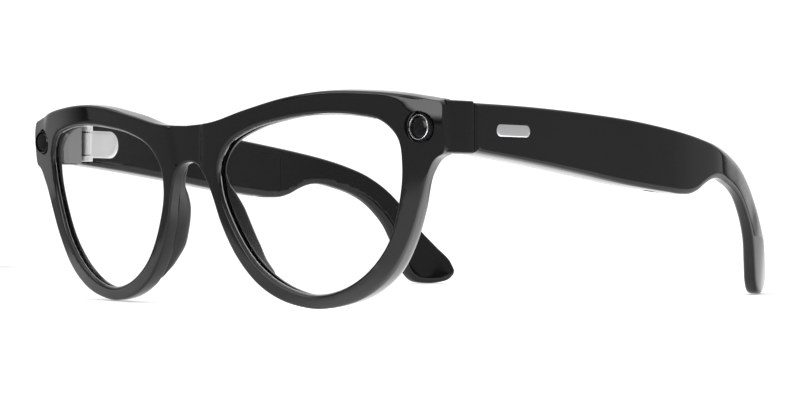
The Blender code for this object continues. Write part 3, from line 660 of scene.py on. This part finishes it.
def make_camera_and_light():
    """Turned pieces of the camera in the left end and of the light in the right end."""
    centre = (MODULE_X, MODULE_Z)
    face = MODULE_FACE
    barrel = [(face + 0.6, 2.84), (8.5, 2.84), (8.5, 2.2), (7.75, 2.2), (7.75, 2.45), (face + 0.6, 2.45)]
    piece = turned("camera_barrel", barrel, centre, bored=True)
    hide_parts("camera_bezel")
    dress(piece, "gloss", "front")
    ring = [(face + 0.01, 2.6), (face, 2.62), (face + 0.02, 2.68), (face + 0.1, 2.72), (face + 0.3, 2.72),
            (face + 0.3, 2.5), (face + 0.1, 2.56)]
    piece = turned("camera_trim_ring", ring, centre, bored=True, sides=96)
    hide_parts("camera_ring")
    dress(piece, "trim", "front")
    glass = [(face + 0.46, 0.01), (face + 0.45, 1.0), (face + 0.47, 2.0), (face + 0.55, 2.15),
             (face + 1.05, 2.15)]
    piece = turned("camera_glass", glass, centre)
    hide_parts("camera_window")
    dress(piece, "dark_glass", "front")
    inner = [(7.55, 0.5), (7.6, 0.95), (7.72, 1.05), (7.72, 1.35), (7.6, 1.4), (7.6, 1.75), (8.6, 1.9)]
    piece = turned("camera_eye", inner, centre)
    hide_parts("camera_module")
    dress(piece, "gloss", "front")
    centre = (-MODULE_X, MODULE_Z)
    face = MODULE_FACE + 0.1
    rim = [(face + 0.04, 2.62), (face, 2.68), (face + 0.04, 2.78), (face + 0.15, 2.84), (8.5, 2.84),
           (8.5, 2.2), (face + 1.4, 2.2), (face + 1.4, 2.55)]
    piece = turned("light_barrel", rim, centre, bored=True)
    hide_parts("led_bezel")
    dress(piece, "gloss", "front")
    dome = [(face - 0.02, 0.02), (face + 0.02, 0.9), (face + 0.1, 1.7), (face + 0.25, 2.2),
            (face + 0.4, 2.35), (face + 1.1, 2.35)]
    piece = turned("light_dome", dome, centre)
    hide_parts("led_window")
    dress(piece, "dark_glass", "front")


# ---- hinges --------------------------------------------------------------------------------------------


def plate_loop(margin, steps=24):
    front, back, bottom, top = PLATE
    corner = 3.0
    middle = (bottom + top) / 2
    loop = [Vector((front - margin, bottom - margin))]
    for i in range(steps + 1):
        angle = -math.pi / 2 + math.pi * i / steps
        y = back - corner + (corner + margin) * math.cos(angle)
        loop.append(Vector((y, middle + (top - middle + margin) * math.sin(angle))))
    loop.append(Vector((front - margin, top + margin)))
    return loop


def knuckle(side, low, high, radius):
    lip = 0.12
    profile = [(low, radius - lip), (low + lip, radius), (high - lip, radius), (high, radius - lip)]
    return turned("knuckle", profile, (side * HINGE_X, HINGE_Y), "Z", 48)


def bore(side):
    return turned("bore", [(34.0, BORE_RADIUS), (46.0, BORE_RADIUS)], (side * HINGE_X, HINGE_Y), "Z", 36)


def make_hinges():
    """A forked leaf on the front, a plate with one knuckle on the temple, and the screw through both."""
    front, back, arms = LEAF
    (low, low_top), (high_foot, high) = FORK_KNUCKLES
    leaf = [(front, low), (arms, low), (arms, low_top), (back, low_top), (back, high_foot), (arms, high_foot),
            (arms, high), (front, high)]
    for side, tag in SIDES:
        fork = prism("hinge_fork_" + tag, leaf, *sorted(side * x for x in LEAF_ACROSS), axis="X")
        tools = [(knuckle(side, *ends, FORK_RADIUS), "UNION") for ends in FORK_KNUCKLES]
        tools.append((bore(side), "DIFFERENCE"))
        combine(fork, tools)
        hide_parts("hinge_front_" + tag)
        dress(fork, "nickel", "front")
        steps = [(0, 1, -0.6), (0, 1, 0.2), (0.05, 1, 0.32), (0.2, 1, 0.4)]
        plate = slab("hinge_plate_" + tag, temple_place(side), temple_thickness, plate_loop(0.0),
                     steps, grid=1.0)
        web = [(64.5, HINGE_Y), (65.4, HINGE_Y + 0.6), (65.4, 22.1), (64.85, 22.1)]
        tools = [(prism("web", [(side * x, y) for x, y in web], *REAR_KNUCKLE), "UNION"),
                 (knuckle(side, *REAR_KNUCKLE, REAR_RADIUS), "UNION"), (bore(side), "DIFFERENCE")]
        combine(plate, tools)
        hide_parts("hinge_rear_" + tag)
        dress(plate, "nickel", "temple_" + tag)
        screw = [(35.4, 0.5), (35.5, 0.55), (44.9, 0.55), (44.9, 1.0), (44.98, 1.1),
                 (45.12, 1.1), (45.2, 1.0)]
        pin = turned("hinge_pin_" + tag, screw, (side * HINGE_X, HINGE_Y), "Z", 48)
        across = (side * HINGE_X - 0.9, side * HINGE_X + 0.9)
        slot = box("driver_slot", across, (HINGE_Y - 0.12, HINGE_Y + 0.12), (45.0, 45.5))
        combine(pin, [(slot, "DIFFERENCE")])
        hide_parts("hinge_screw_" + tag)
        dress(pin, "trim", "front")


# ---- temples -------------------------------------------------------------------------------------------


def temple_place(side):
    """Places points by (along, height, depth behind the outer face); the lowest part is tucked in."""
    def place(y, z, depth):
        low = max(1.0 - z / TIP_TUCK_HEIGHT, 0.0)
        return point(side * (value_at(TEMPLE_PLAN, y) - TIP_TUCK * low - depth), y, z)
    return place


def temple_thickness(y, z):
    return value_at(TEMPLE_THICKNESS, y)


def edge_height(y, top):
    """Height of the temple's upper or lower edge."""
    turn = TEMPLE_EDGE.index(TIP_TURN)
    curve = TEMPLE_EDGE[:turn] if top else TEMPLE_EDGE[turn:][::-1]
    if not top:
        curve = [p for p in curve if p[0] <= HOOK_START]
    return value_at(curve, y)


def pocket_loop(margin):
    steps = 50
    front = POCKET[0] + margin
    back = POCKET[1] - margin
    wall = POCKET_WALL + margin
    spots = [front + (back - front) * i / steps for i in range(steps + 1)]
    upper = [Vector((y, edge_height(y, True) - wall)) for y in spots]
    lower = [Vector((y, edge_height(y, False) + wall)) for y in spots]
    return lower + upper[::-1]


def button_x():
    """The capture button sits in the middle of the right temple's top."""
    return -(value_at(TEMPLE_PLAN, BUTTON_AT) - value_at(TEMPLE_THICKNESS, BUTTON_AT) / 2)


def make_temples():
    """Hollow arms with a lid on the inner face and an oval inlay in the outer one."""
    for side, tag in SIDES:
        body = "temple_" + tag
        place = temple_place(side)
        outline = smooth_curve(TEMPLE_EDGE, 0.8)
        edge = [(1.7, 0, 0.0), (1.2, 0, 0.02), (0.8, 0, 0.06), (0.5, 0, 0.13), (0.27, 0, 0.25),
                (0.1, 0, 0.42), (0.02, 0, 0.6), (0, 0, 0.75)]
        edge += [(0, 1, -1.1), (0.1, 1, -0.68), (0.32, 1, -0.34), (0.66, 1, -0.1), (1.1, 1, 0)]
        shell = slab("temple_arm_" + tag, place, temple_thickness, outline, edge,
                     front_pockets=[(stadium(*INLAY, INLAY_LENGTH + 0.2, INLAY_HEIGHT + 0.2), 0, 0.7)],
                     back_pockets=[(pocket_loop(0.0), 0, 1.3)])
        notch = sorted((side * 60.0, side * 65.95))
        tools = [(box("notch", notch, (17.0, 21.8), (34.9, 45.0)), "DIFFERENCE")]
        inner = value_at(TEMPLE_PLAN, PLATE[1]) - value_at(TEMPLE_THICKNESS, PLATE[1])
        sunk = sorted((side * 60.0, side * (inner + 0.9)))
        tools.append((prism("sink", [(p.x, p.y) for p in plate_loop(0.12)], *sunk, axis="X"), "DIFFERENCE"))
        across, length, height = SOUND_SLOT
        for start in SOUND_SLOTS:
            ends = sorted(side * x for x in across)
            tools.append((box("sound", ends, (start, start + length), height), "DIFFERENCE"))
        if side < 0:
            hole = [(p.y, p.x) for p in stadium(BUTTON_AT, button_x(), *BUTTON_HOLE)]
            tools.append((prism("hole", hole, 41.0, 47.0), "DIFFERENCE"))
        combine(shell, tools)
        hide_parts("temple_shell_" + tag)
        dress(shell, "gloss", body)
        lid = [(0, 1, -1.3), (0, 1, -0.04), (0.04, 1, 0)]
        holes = []
        if side > 0:
            opening = [(0, 1, -1.3), (0, 1, -0.12), (-0.06, 1, -0.05), (-0.14, 1, 0)]
            holes.append((stadium(42.5, SWITCH_HEIGHT, *SWITCH_OPENING), opening))
        cover = slab("temple_lid_" + tag, place, temple_thickness, pocket_loop(0.06), lid, holes)
        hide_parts("temple_cover_" + tag)
        dress(cover, "gloss", body)
        mark = slab("temple_oval_" + tag, place, temple_thickness,
                    stadium(*INLAY, INLAY_LENGTH, INLAY_HEIGHT),
                    [(0.3, 0, -0.03), (0.12, 0, -0.01), (0, 0, 0.06), (0, 0, 0.6)], grid=0.8)
        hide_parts("temple_inlay_" + tag)
        dress(mark, "silver", body)


def make_buttons():
    """The capture button in the right temple's top and the switch on the left temple's inner face."""
    plan = stadium(BUTTON_AT, button_x(), *BUTTON_SIZE)
    bm = bmesh.new()
    rings = []
    for z, shrink in ((42.1, 0.0), (45.3, 0.0), (45.42, 0.06), (45.52, 0.16), (45.55, 0.32)):
        rings.append([bm.verts.new(point(p.y, p.x, z)) for p in inset(plan, shrink)])
    for first, second in zip(rings, rings[1:]):
        ring_faces(bm, first, second)
    bm.faces.new(rings[0])
    bm.faces.new(rings[-1])
    button = finish_mesh("capture_key", bm)
    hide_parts("capture_button")
    dress(button, "satin", "capture_button")
    steps = [(0, 1, -1.0), (0, 1, 0.12), (0.08, 1, 0.28), (0.25, 1, 0.35)]
    outline = stadium(41.0, SWITCH_HEIGHT, *SWITCH_SIZE)
    slider = slab("power_slider", temple_place(1), temple_thickness, outline, steps, grid=0.5)
    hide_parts("power_switch")
    dress(slider, "satin", "power_switch")


# ---- materials -----------------------------------------------------------------------------------------


def math_node(nodes, links, operation, *values):
    node = nodes.new("ShaderNodeMath")
    node.operation = operation
    for i, value in enumerate(values):
        if isinstance(value, (int, float)):
            node.inputs[i].default_value = value
        else:
            links.new(value, node.inputs[i])
    return node.outputs[0]


def ramp(nodes, links, value, low, high, start, end):
    node = nodes.new("ShaderNodeMapRange")
    node.interpolation_type = "SMOOTHSTEP"
    node.inputs["From Min"].default_value = low
    node.inputs["From Max"].default_value = high
    node.inputs["To Min"].default_value = start
    node.inputs["To Max"].default_value = end
    links.new(value, node.inputs["Value"])
    return node.outputs[0]


def along(nodes, links, vector, direction, offset=(0, 0, 0)):
    """Distance of a position from the offset point along a direction."""
    shift = nodes.new("ShaderNodeVectorMath")
    shift.operation = "SUBTRACT"
    links.new(vector, shift.inputs[0])
    shift.inputs[1].default_value = offset
    dot = nodes.new("ShaderNodeVectorMath")
    dot.operation = "DOT_PRODUCT"
    links.new(shift.outputs[0], dot.inputs[0])
    dot.inputs[1].default_value = direction
    return dot.outputs["Value"]


FINISHES = {
    # colour, roughness, metallic, specular level, patches per metre, grains per metre, bump, wear colour
    "gloss": ((0.006, 0.006, 0.0063), (0.04, 0.08), 0.0, 0.34, 60, 900, 0.003, (0.02, 0.02, 0.021)),
    "satin": ((0.014, 0.014, 0.015), (0.28, 0.40), 0.0, 0.45, 120, 2600, 0.2, (0.05, 0.05, 0.05)),
    "cover": ((0.14, 0.14, 0.143), (0.36, 0.46), 0.0, 0.5, 150, 2200, 0.12, (0.3, 0.3, 0.3)),
    "nickel": ((0.9, 0.9, 0.905), (0.34, 0.44), 1.0, 0.5, 300, 3000, 0.12, (0.95, 0.95, 0.95)),
    "trim": ((0.35, 0.35, 0.36), (0.16, 0.24), 1.0, 0.5, 400, 4000, 0.05, (0.8, 0.8, 0.8)),
    "silver": ((0.62, 0.62, 0.63), (0.3, 0.42), 0.9, 0.5, 500, 5000, 0.15, (0.97, 0.97, 0.97)),
    "gold": ((0.83, 0.62, 0.26), (0.18, 0.3), 1.0, 0.5, 500, 4000, 0.08, (0.95, 0.8, 0.5)),
    "board": ((0.02, 0.13, 0.07), (0.35, 0.5), 0.0, 0.4, 400, 1500, 0.3, (0.3, 0.25, 0.1)),
    "foil": ((0.6, 0.6, 0.62), (0.3, 0.45), 1.0, 0.5, 300, 1200, 0.3, (0.8, 0.8, 0.8)),
    "amber": ((0.45, 0.2, 0.03), (0.3, 0.45), 0.0, 0.5, 300, 1500, 0.2, (0.6, 0.35, 0.1)),
    # painted highlight: pale opaque colour on the lenses' front bevel, standing in for the glint along the
    # edge
    "lens_edge_painted_highlight": ((0.42, 0.43, 0.43), (0.1, 0.2), 0.0, 0.5, 200, 900, 0.003, (0.6, 0.6, 0.6)),
    "dark_glass": ((0.003, 0.003, 0.004), (0.01, 0.03), 0.0, 0.25, 80, 500, 0.0, (0.01, 0.01, 0.01)),
}
made_materials = {}


def lens_shader(nodes, links):
    """Clear glass that mirrors a little at steep angles, with faint smears."""
    nodes.remove(nodes["Principled BSDF"])
    where = nodes.new("ShaderNodeTexCoord")
    smear = nodes.new("ShaderNodeTexNoise")
    smear.inputs["Scale"].default_value = 35
    links.new(where.outputs["Object"], smear.inputs["Vector"])
    clear = nodes.new("ShaderNodeBsdfTransparent")
    clear.inputs["Color"].default_value = (0.985, 0.985, 0.985, 1)
    mirror = nodes.new("ShaderNodeBsdfGlossy")
    mirror.inputs["Roughness"].default_value = 0.0
    facing = nodes.new("ShaderNodeLayerWeight").outputs["Facing"]
    steep = math_node(nodes, links, "POWER", facing, 4.0)
    smudge = ramp(nodes, links, smear.outputs["Fac"], 0.3, 0.7, 0.25, 0.4)
    share = math_node(nodes, links, "MULTIPLY", steep, smudge)
    mix = nodes.new("ShaderNodeMixShader")
    links.new(share, mix.inputs[0])
    links.new(clear.outputs[0], mix.inputs[1])
    links.new(mirror.outputs[0], mix.inputs[2])
    links.new(mix.outputs[0], nodes["Material Output"].inputs["Surface"])


def finish_shader(nodes, links, name):
    """A finish with patchy roughness, a fine grain and paler worn edges."""
    colour, rough, metal, level, patch, grain, bump, worn = FINISHES[name]
    shader = nodes["Principled BSDF"]
    shader.inputs["Metallic"].default_value = metal
    shader.inputs["Specular IOR Level"].default_value = level
    where = nodes.new("ShaderNodeTexCoord")
    patches = nodes.new("ShaderNodeTexNoise")
    patches.inputs["Scale"].default_value = patch
    patches.inputs["Detail"].default_value = 4
    links.new(where.outputs["Object"], patches.inputs["Vector"])
    span = nodes.new("ShaderNodeMapRange")
    span.inputs["From Min"].default_value = 0.3
    span.inputs["From Max"].default_value = 0.7
    span.inputs["To Min"].default_value = rough[0]
    span.inputs["To Max"].default_value = rough[1]
    links.new(patches.outputs["Fac"], span.inputs["Value"])
    links.new(span.outputs["Result"], shader.inputs["Roughness"])
    shape = nodes.new("ShaderNodeNewGeometry")
    edge = nodes.new("ShaderNodeMapRange")
    edge.inputs["From Min"].default_value = 0.53
    edge.inputs["From Max"].default_value = 0.62
    edge.inputs["To Max"].default_value = 0.6
    links.new(shape.outputs["Pointiness"], edge.inputs["Value"])
    mix = nodes.new("ShaderNodeMix")
    mix.data_type = "RGBA"
    mix.inputs[6].default_value = (*colour, 1)
    mix.inputs[7].default_value = (*worn, 1)
    links.new(edge.outputs["Result"], mix.inputs[0])
    links.new(mix.outputs[2], shader.inputs["Base Color"])
    if bump:
        fine = nodes.new("ShaderNodeTexNoise")
        fine.inputs["Scale"].default_value = grain
        fine.inputs["Detail"].default_value = 3
        links.new(where.outputs["Object"], fine.inputs["Vector"])
        step = nodes.new("ShaderNodeBump")
        step.inputs["Strength"].default_value = bump
        step.inputs["Distance"].default_value = 0.00005
        links.new(fine.outputs["Fac"], step.inputs["Height"])
        links.new(step.outputs["Normal"], shader.inputs["Normal"])


def finish_material(name):
    if name not in made_materials:
        made = bpy.data.materials.new("finish_" + name)
        made.use_nodes = True
        if name == "lens":
            lens_shader(made.node_tree.nodes, made.node_tree.links)
        else:
            finish_shader(made.node_tree.nodes, made.node_tree.links, name)
        made_materials[name] = made
    return made_materials[name]


def paint(piece, look):
    piece.data.materials.clear()
    piece.data.materials.append(finish_material(look))


def dress(piece, look, body):
    paint(piece, look)
    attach(piece, body)


KEPT = {
    # CAD pieces that keep their own mesh, by finish
    "satin": ("bridge_cover", "brow_cover_left", "brow_cover_right", "speaker_left", "speaker_right"),
    "cover": ("end_cover_left", "end_cover_right"),
    "amber": ("front_flex_cable", "temple_flex_left", "touch_sensor", "temple_flex_right"),
    "gold": ("charge_contact_left", "charge_contact_right"),
    "foil": ("bridge_microphone", "battery", "microphone_left", "processor_shield", "button_switch",
             "microphone_right"),
    "board": ("camera_board", "led_board", "power_board", "main_board"),
}


# ---- studio --------------------------------------------------------------------------------------------

VIEW_LENS = 88.74
VIEW_PLACE = (0.34791, -0.38613, 0.02139)
VIEW_RIGHT = (0.7386, 0.6741, 0)
VIEW_AHEAD = (-0.6741, 0.7386, 0)
VIEW_RISE = 0.0072
# the floor is brighter between these bearings from the view, where the picture shows it
FLOOR_LEFT = (-0.36, -0.22)
FLOOR_RIGHT = (0.5, 1.0)
# paint and glow outside and inside those bearings, and a hot spot beside the left rim
# painted shade: the floor's paint is darker outside those bearings than inside them
FLOOR_PAINTED_SHADE = 0.2
FLOOR_PALE = 0.8
FLOOR_DIM = 0.15
FLOOR_LEVEL = 0.3
FLOOR_SPOT = (0.088, -0.045, 0.0)
FLOOR_REACH = (0.02, 0.085)
FLOOR_HOT = 3.4
# strength of the sky: at the sides, behind the glasses and overhead
WORLD_DIM = 0.4
WORLD_BACK = 1.25
WORLD_TOP = 1.2
CARDS = [
    # name, centre, aim, size, strength, share of the half width that fades, share of the height that fades
    ("back_card", (-0.02, 0.70, 0.10), (0.06, 0.07, 0.02), (0.36, 0.26), 1.7, 0.45, 0.05),
    ("left_card", (-0.30, -0.04, 0.12), (-0.02, -0.06, 0.03), (0.30, 0.30), 0.8, 0.45, 0.05),
    ("front_card", (-0.04, -0.75, 0.13), (0.05, -0.07, 0.05), (0.66, 0.26), 5.5, 0.3, 0.5),
    ("high_card", (-0.15, -0.60, 0.55), (0.05, -0.07, 0.04), (0.60, 0.34), 3.0, 0.2, 0.05),
]


def make_camera_view():
    view = bpy.data.cameras.new("view")
    view.lens = VIEW_LENS
    view.sensor_width = 36
    view.clip_start = 0.01
    view.clip_end = 20
    holder = bpy.data.objects.new("view", view)
    bpy.context.scene.collection.objects.link(holder)
    right = Vector(VIEW_RIGHT).normalized()
    forward = Vector((VIEW_AHEAD[0], VIEW_AHEAD[1], VIEW_RISE)).normalized()
    up = right.cross(forward)
    turned_view = Matrix((right, up, -forward)).transposed().to_4x4()
    holder.matrix_world = Matrix.Translation(VIEW_PLACE) @ turned_view
    bpy.context.scene.camera = holder


def glow(name, colour, strength):
    made = bpy.data.materials.new(name)
    made.use_nodes = True
    nodes = made.node_tree.nodes
    nodes.remove(nodes["Principled BSDF"])
    lamp = nodes.new("ShaderNodeEmission")
    lamp.inputs["Color"].default_value = (*colour, 1)
    lamp.inputs["Strength"].default_value = strength
    made.node_tree.links.new(lamp.outputs[0], nodes["Material Output"].inputs["Surface"])
    return made


def card(name, centre, aim, size, strength, soft, rise):
    """A glowing card that lights the piece and shows in its reflections, not in the picture.

    It fades out over a share of its half width at each side, and of its height from the lower edge.
    """
    bm = bmesh.new()
    half = (size[0] / 2, size[1] / 2)
    corners = ((-half[0], -half[1]), (half[0], -half[1]), half, (-half[0], half[1]))
    bm.faces.new([bm.verts.new((x, y, 0)) for x, y in corners])
    mesh = bpy.data.meshes.new(name)
    bm.to_mesh(mesh)
    bm.free()
    holder = bpy.data.objects.new(name, mesh)
    bpy.context.scene.collection.objects.link(holder)
    holder.location = centre
    holder.rotation_euler = (Vector(aim) - Vector(centre)).to_track_quat("Z", "Y").to_euler()
    made = glow(name, (1, 1, 1), strength)
    nodes = made.node_tree.nodes
    links = made.node_tree.links
    where = nodes.new("ShaderNodeTexCoord").outputs["Object"]
    off = math_node(nodes, links, "ABSOLUTE", along(nodes, links, where, (1, 0, 0)))
    level = ramp(nodes, links, off, half[0] * (1 - soft), half[0], strength, 0.0)
    height = along(nodes, links, where, (0, 1, 0))
    lift = ramp(nodes, links, height, -half[1] * 0.9, half[1] * (2 * rise - 0.9), 0.0, 1.0)
    links.new(math_node(nodes, links, "MULTIPLY", level, lift), nodes["Emission"].inputs["Strength"])
    mesh.materials.append(made)
    holder.visible_camera = False


def make_floor():
    mesh = bpy.data.meshes.new("floor")
    bm = bmesh.new()
    bm.faces.new([bm.verts.new((x, y, -0.0002)) for x, y in ((-4, -4), (4, -4), (4, 4), (-4, 4))])
    bm.to_mesh(mesh)
    bm.free()
    floor = bpy.data.objects.new("floor", mesh)
    bpy.context.scene.collection.objects.link(floor)
    table = bpy.data.materials.new("light_table")
    table.use_nodes = True
    nodes = table.node_tree.nodes
    links = table.node_tree.links
    shader = nodes["Principled BSDF"]
    shader.inputs["Roughness"].default_value = 1.0
    shader.inputs["Specular IOR Level"].default_value = 0.0
    shader.inputs["Emission Color"].default_value = (1, 1, 1, 1)
    where = nodes.new("ShaderNodeTexCoord").outputs["Object"]
    foot = (VIEW_PLACE[0], VIEW_PLACE[1], 0)
    sideways = along(nodes, links, where, VIEW_RIGHT, foot)
    ahead = along(nodes, links, where, VIEW_AHEAD, foot)
    bearing = math_node(nodes, links, "DIVIDE", sideways, math_node(nodes, links, "MAXIMUM", ahead, 0.05))
    left = ramp(nodes, links, bearing, *FLOOR_LEFT, 0.0, 1.0)
    inside = math_node(nodes, links, "MULTIPLY", left, ramp(nodes, links, bearing, *FLOOR_RIGHT, 1.0, 0.0))
    wide = ramp(nodes, links, inside, 0.0, 1.0, FLOOR_DIM, FLOOR_LEVEL)
    # painted shade: the floor colour runs from dark outside the bearings to pale inside them
    painted_shade_tone = ramp(nodes, links, inside, 0.0, 1.0, FLOOR_PAINTED_SHADE, FLOOR_PALE)
    colour = nodes.new("ShaderNodeCombineColor")
    for i in range(3):
        links.new(painted_shade_tone, colour.inputs[i])
    links.new(colour.outputs[0], shader.inputs["Base Color"])
    gap = nodes.new("ShaderNodeVectorMath")
    gap.operation = "DISTANCE"
    links.new(where, gap.inputs[0])
    gap.inputs[1].default_value = FLOOR_SPOT
    spot = ramp(nodes, links, gap.outputs["Value"], *FLOOR_REACH, FLOOR_HOT, 0.0)
    links.new(math_node(nodes, links, "ADD", wide, spot), shader.inputs["Emission Strength"])
    mesh.materials.append(table)


def make_world():
    world = bpy.data.worlds.new("studio")
    bpy.context.scene.world = world
    world.use_nodes = True
    nodes = world.node_tree.nodes
    links = world.node_tree.links
    back = nodes["Background"]
    back.inputs["Color"].default_value = (1, 1, 1, 1)
    where = nodes.new("ShaderNodeTexCoord").outputs["Generated"]
    behind = ramp(nodes, links, along(nodes, links, where, VIEW_AHEAD), 0.55, 0.88, WORLD_DIM, WORLD_BACK)
    above = ramp(nodes, links, along(nodes, links, where, (0, 0, 1)), 0.35, 0.9, 0.0, WORLD_TOP)
    links.new(math_node(nodes, links, "ADD", behind, above), back.inputs["Strength"])


def make_studio():
    make_floor()
    make_world()
    for name, centre, aim, size, strength, soft, rise in CARDS:
        card(name, centre, aim, size, strength, soft, rise)
    bpy.context.scene.view_settings.view_transform = "Standard"


make_camera_view()
front_piece = make_front()
dress(front_piece, "gloss", "front")
make_lenses()
make_nose_pads()
make_camera_and_light()
make_hinges()
make_temples()
make_buttons()
for look, nodes in KEPT.items():
    for node in nodes:
        paint(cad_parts[node], look)
make_studio()
